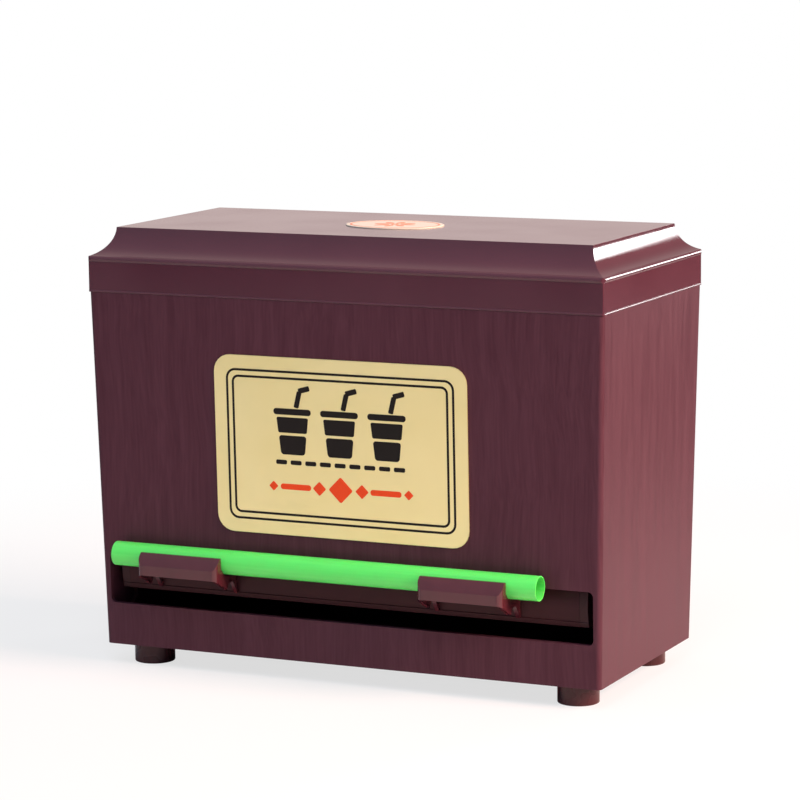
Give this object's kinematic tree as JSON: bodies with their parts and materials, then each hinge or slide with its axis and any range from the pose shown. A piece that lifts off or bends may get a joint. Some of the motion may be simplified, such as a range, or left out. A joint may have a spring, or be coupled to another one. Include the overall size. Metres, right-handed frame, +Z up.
{
  "type": "straw dispenser with lever",
  "caption": "Counter-top straw box with a lift-off coved lid and a front rocker bar: pressing its two hooks down rolls one straw out of the slot.",
  "frame": {"origin": "on the table, under the middle of the whole outline, hooks included", "axes": "+X to the right seen from the front, -Y towards the front with the slot, +Z up"},
  "size_m": [0.2502, 0.1356, 0.2016],
  "materials": {
    "case_plastic": "moulded vertical wood grain, satin",
    "lid_plastic": "smooth, glossy",
    "hook_plastic": "smooth, glossy",
    "foot_plastic": "smooth, glossy",
    "bar_plastic": "semi-matt",
    "inner_plastic": "moulded, matt",
    "bush_plastic": "natural acetal",
    "gold_plate": "brushed, gold anodised",
    "label_paper": "printed, satin film",
    "plated_steel": "zinc plated",
    "straw_plastic": "polypropylene, slightly translucent"
  },
  "bodies": {
    "case": {"case_shell": "case_plastic", "front_plate": "gold_plate", "foot_front_left": "foot_plastic", "foot_front_right": "foot_plastic", "foot_back_left": "foot_plastic", "foot_back_right": "foot_plastic", "foot_screws": "plated_steel", "left_bush": "bush_plastic", "right_bush": "bush_plastic", "left_cheek": "inner_plastic", "right_cheek": "inner_plastic", "hopper_ramp": "inner_plastic"},
    "lid": {"lid": "lid_plastic", "lid_label": "label_paper"},
    "lever": {"rocker_bar": "bar_plastic", "left_hook": "hook_plastic", "right_hook": "hook_plastic", "hook_screws": "plated_steel", "left_end_cap": "inner_plastic", "right_end_cap": "inner_plastic", "left_axle_pin": "plated_steel", "right_axle_pin": "plated_steel", "counterweight": "plated_steel"},
    "straw": {"served_straw": "straw_plastic"}
  },
  "joints": [
    {"name": "lid_lift", "type": "slide", "parent": "case", "child": "lid", "axis": [0, 0, 1], "range_m": [0, 0.1]},
    {"name": "lever_press", "type": "hinge", "parent": "case", "child": "lever", "pos_m": [0, -0.02246, 0.04569], "axis": [1, 0, 0], "range_deg": [0, 26]},
    {"name": "straw_lift", "type": "slide", "parent": "lever", "child": "straw", "axis": [0, -0.0785, 0.9969], "range_m": [0, 0.06]}
  ]
}
